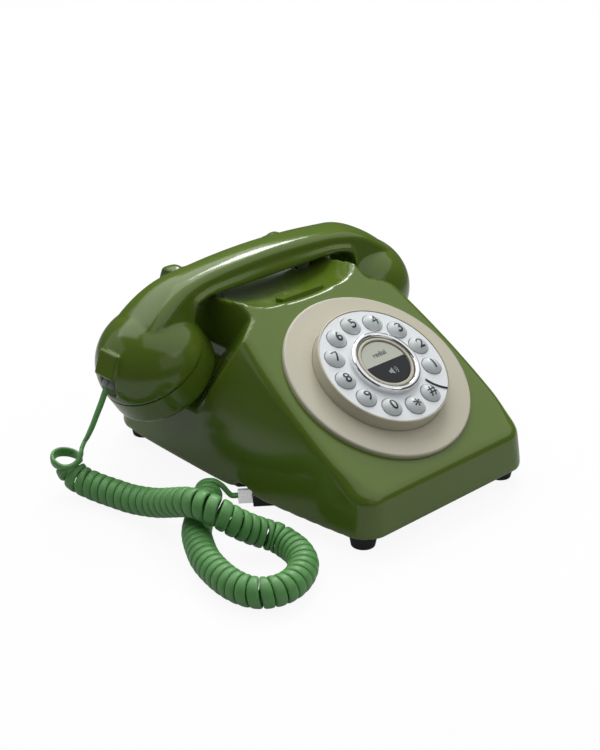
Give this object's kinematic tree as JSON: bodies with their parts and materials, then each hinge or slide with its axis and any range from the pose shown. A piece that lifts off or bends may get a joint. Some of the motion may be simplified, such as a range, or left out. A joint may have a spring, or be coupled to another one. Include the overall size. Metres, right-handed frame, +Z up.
{
  "type": "desk telephone",
  "caption": "Push-button desk telephone with a dial-shaped keypad on a sloping panel, a lift-off handset in a horned cradle and a curly cord.",
  "frame": {"origin": "On the table, under the middle of the telephone without its cord.", "axes": "+X to the user's right along the handset, +Y to the back, +Z up."},
  "size_m": [0.2552, 0.2141, 0.115],
  "materials": {
    "green_plastic": "glossy moulded plastic",
    "beige_plastic": "satin moulded plastic",
    "white_plastic": "smooth white plastic",
    "grey_plastic": "glossy pale grey plastic",
    "dark_plastic": "dark moulded plastic",
    "chrome_trim": "bright plated plastic",
    "black_rubber": "matt rubber",
    "base_plastic": "grained plastic",
    "pale_plastic": "natural plastic",
    "board": "circuit board lacquer",
    "steel": "plain steel",
    "clear_plastic": "clear plastic",
    "cord_green": "soft satin cord sheath"
  },
  "bodies": {
    "base": {"upper_housing": "green_plastic", "dial_surround": "beige_plastic", "dial_cup": "beige_plastic", "centre_bezel": "beige_plastic", "dial_face": "white_plastic", "finger_stop": "dark_plastic", "base_jack": "dark_plastic", "line_jack": "dark_plastic", "hook_switch": "dark_plastic", "recall_switch": "dark_plastic", "loudspeaker": "dark_plastic", "ringer_switch": "dark_plastic", "chrome_ring": "chrome_trim", "rubber_feet": "black_rubber", "keypad_mat": "black_rubber", "base_plate": "base_plastic", "keypad_board": "board", "main_board": "board", "hook_board": "board", "base_screws": "steel", "keypad_screws": "steel", "hook_screws": "steel", "board_screws": "steel", "hook_springs": "steel", "ballast_plate": "steel", "base_plug": "clear_plastic", "cord_coil": "cord_green", "base_lead": "cord_green"},
    "handset": {"handset_body": "green_plastic", "mouth_cap": "green_plastic", "ear_cap": "green_plastic", "microphone": "dark_plastic", "receiver": "dark_plastic", "handset_weight": "steel", "handset_jack": "dark_plastic", "handset_plug": "clear_plastic", "handset_lead": "cord_green"},
    "hook": {"hook_yoke": "pale_plastic"},
    "ringer": {"ringer_knob": "dark_plastic"},
    "key_1": {"key_1": "grey_plastic"},
    "key_2": {"key_2": "grey_plastic"},
    "key_3": {"key_3": "grey_plastic"},
    "key_4": {"key_4": "grey_plastic"},
    "key_5": {"key_5": "grey_plastic"},
    "key_6": {"key_6": "grey_plastic"},
    "key_7": {"key_7": "grey_plastic"},
    "key_8": {"key_8": "grey_plastic"},
    "key_9": {"key_9": "grey_plastic"},
    "key_0": {"key_0": "grey_plastic"},
    "key_star": {"key_star": "grey_plastic"},
    "key_hash": {"key_hash": "grey_plastic"},
    "redial": {"redial_key": "beige_plastic"},
    "speaker": {"speaker_key": "dark_plastic"},
    "recall": {"recall_bar": "green_plastic"}
  },
  "joints": [
    {"name": "handset_lift", "type": "slide", "parent": "base", "child": "handset", "axis": [0, 0, 1], "range_m": [0, 0.09], "deforming": ["handset_lead"]},
    {"name": "hook_rise", "type": "slide", "parent": "base", "child": "hook", "axis": [0, 0, 1], "range_m": [0, 0.005], "deforming": ["hook_springs"]},
    {"name": "ringer_slide", "type": "slide", "parent": "base", "child": "ringer", "axis": [1, 0, 0], "range_m": [0, 0.004]},
    {"name": "key_1_press", "type": "slide", "parent": "base", "child": "key_1", "axis": [0, 0.5053, -0.863], "range_m": [0, 0.0015], "stiffness_N_per_m": 600},
    {"name": "key_2_press", "type": "slide", "parent": "base", "child": "key_2", "axis": [0, 0.5053, -0.863], "range_m": [0, 0.0015], "stiffness_N_per_m": 600},
    {"name": "key_3_press", "type": "slide", "parent": "base", "child": "key_3", "axis": [0, 0.5053, -0.863], "range_m": [0, 0.0015], "stiffness_N_per_m": 600},
    {"name": "key_4_press", "type": "slide", "parent": "base", "child": "key_4", "axis": [0, 0.5053, -0.863], "range_m": [0, 0.0015], "stiffness_N_per_m": 600},
    {"name": "key_5_press", "type": "slide", "parent": "base", "child": "key_5", "axis": [0, 0.5053, -0.863], "range_m": [0, 0.0015], "stiffness_N_per_m": 600},
    {"name": "key_6_press", "type": "slide", "parent": "base", "child": "key_6", "axis": [0, 0.5053, -0.863], "range_m": [0, 0.0015], "stiffness_N_per_m": 600},
    {"name": "key_7_press", "type": "slide", "parent": "base", "child": "key_7", "axis": [0, 0.5053, -0.863], "range_m": [0, 0.0015], "stiffness_N_per_m": 600},
    {"name": "key_8_press", "type": "slide", "parent": "base", "child": "key_8", "axis": [0, 0.5053, -0.863], "range_m": [0, 0.0015], "stiffness_N_per_m": 600},
    {"name": "key_9_press", "type": "slide", "parent": "base", "child": "key_9", "axis": [0, 0.5053, -0.863], "range_m": [0, 0.0015], "stiffness_N_per_m": 600},
    {"name": "key_0_press", "type": "slide", "parent": "base", "child": "key_0", "axis": [0, 0.5053, -0.863], "range_m": [0, 0.0015], "stiffness_N_per_m": 600},
    {"name": "key_star_press", "type": "slide", "parent": "base", "child": "key_star", "axis": [0, 0.5053, -0.863], "range_m": [0, 0.0015], "stiffness_N_per_m": 600},
    {"name": "key_hash_press", "type": "slide", "parent": "base", "child": "key_hash", "axis": [0, 0.5053, -0.863], "range_m": [0, 0.0015], "stiffness_N_per_m": 600},
    {"name": "redial_press", "type": "slide", "parent": "base", "child": "redial", "axis": [0, 0.5053, -0.863], "range_m": [0, 0.0012], "stiffness_N_per_m": 600},
    {"name": "speaker_press", "type": "slide", "parent": "base", "child": "speaker", "axis": [0, 0.5053, -0.863], "range_m": [0, 0.0012], "stiffness_N_per_m": 600},
    {"name": "recall_press", "type": "slide", "parent": "base", "child": "recall", "axis": [0, -0.1736, -0.9848], "range_m": [0, 0.0018], "stiffness_N_per_m": 500}
  ],
  "couplings": [
    {"joint": "hook_rise", "follows": "handset_lift", "ratio": 0.055556}
  ]
}
